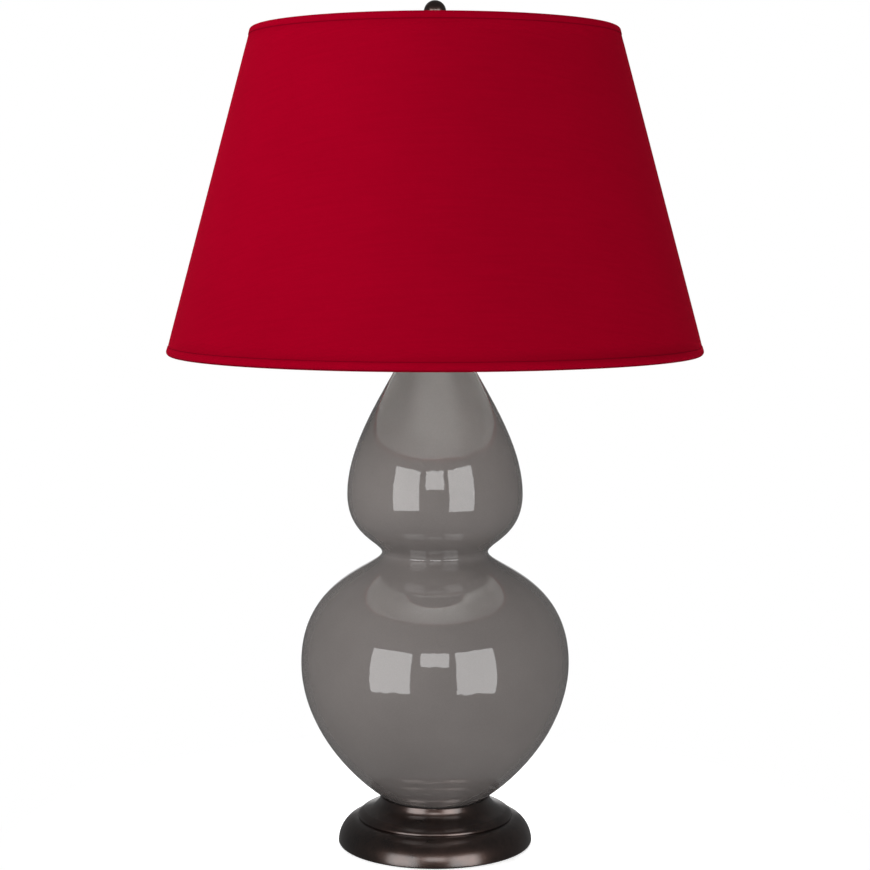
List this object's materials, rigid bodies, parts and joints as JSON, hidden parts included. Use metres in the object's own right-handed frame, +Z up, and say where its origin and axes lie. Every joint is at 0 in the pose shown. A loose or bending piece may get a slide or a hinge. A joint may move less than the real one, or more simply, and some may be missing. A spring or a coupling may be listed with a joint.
{
  "type": "table lamp",
  "caption": "Table lamp with a glazed double gourd body on a turned metal foot, a harp, a tapered fabric shade and a ball finial.",
  "frame": {"origin": "centre of the felt's underside, on the lamp's axis, where the lamp stands on a table", "axes": "+Z up along the lamp's axis, -Y towards the front, where the switch is; the cord inlet is at the back, +Y"},
  "size_m": [0.4946, 0.4946, 0.787],
  "materials": {
    "felt": "dense black wool felt",
    "patina_bronze": "dark bronze lacquer, satin",
    "cast_iron": "as-cast grey iron",
    "zinc_steel": "zinc-plated steel",
    "nylon": "moulded black nylon",
    "cork_rubber": "soft sheet gasket",
    "glaze": "warm grey glaze, glossy",
    "brass": "polished brass",
    "fibre_liner": "vulcanised fibre",
    "phenolic": "moulded phenolic",
    "shaft_steel": "turned steel",
    "bulb_metal": "pressed aluminium",
    "bulb_glass": "frosted glass",
    "shade_liner": "white styrene, matt",
    "shade_fabric": "fine deep red shade cloth"
  },
  "bodies": {
    "lamp_body": {"felt_pad": "felt", "base_shell": "patina_bronze", "base_weight": "cast_iron", "weight_washer": "zinc_steel", "lock_washer": "zinc_steel", "base_nut": "zinc_steel", "cord_inlet": "nylon", "centre_rod": "zinc_steel", "seat_gasket": "cork_rubber", "gourd_body": "glaze", "neck_gasket": "cork_rubber", "vase_cap": "patina_bronze", "neck_tube": "patina_bronze", "check_ring": "patina_bronze", "harp_saddle": "brass", "saddle_nut": "zinc_steel", "socket_cap": "brass", "set_screw": "zinc_steel", "socket_shell": "brass", "socket_liner": "fibre_liner", "socket_block": "phenolic", "screw_shell": "brass", "centre_contact": "brass", "terminal_screws": "zinc_steel"},
    "turn_switch": {"switch_shaft": "shaft_steel", "switch_knob": "phenolic"},
    "light_bulb": {"bulb_tip": "bulb_metal", "bulb_cap": "bulb_metal", "bulb_glass": "bulb_glass"},
    "harp": {"harp_loop": "brass"},
    "ferrule_right": {"right_ferrule": "brass"},
    "ferrule_left": {"left_ferrule": "brass"},
    "swivel_stud": {"harp_stud": "brass"},
    "lamp_shade": {"spider_washer": "zinc_steel", "spider_arms": "zinc_steel", "top_ring": "zinc_steel", "bottom_ring": "zinc_steel", "shade_liner": "shade_liner", "shade_cover": "shade_fabric"},
    "finial_nut": {"finial": "patina_bronze"}
  },
  "joints": [
    {"name": "switch_turn", "type": "hinge", "parent": "lamp_body", "child": "turn_switch", "pos_m": [0, -0.02, 0.54975], "axis": [0, -1, 0], "continuous": true},
    {"name": "bulb_lift", "type": "slide", "parent": "lamp_body", "child": "light_bulb", "axis": [0, 0, 1], "range_m": [0, 0.03]},
    {"name": "harp_lift", "type": "slide", "parent": "lamp_body", "child": "harp", "axis": [0, 0, 1], "range_m": [0, 0.02]},
    {"name": "right_ferrule_slide", "type": "slide", "parent": "harp", "child": "ferrule_right", "axis": [0, 0, 1], "range_m": [0, 0.014]},
    {"name": "left_ferrule_slide", "type": "slide", "parent": "harp", "child": "ferrule_left", "axis": [0, 0, 1], "range_m": [0, 0.014]},
    {"name": "shade_turn", "type": "hinge", "parent": "harp", "child": "swivel_stud", "pos_m": [0, 0, 0.75], "axis": [0, 0, 1], "continuous": true},
    {"name": "shade_lift", "type": "slide", "parent": "swivel_stud", "child": "lamp_shade", "axis": [0, 0, 1], "range_m": [0, 0.31]},
    {"name": "finial_lift", "type": "slide", "parent": "lamp_shade", "child": "finial_nut", "axis": [0, 0, 1], "range_m": [0, 0.025]}
  ]
}
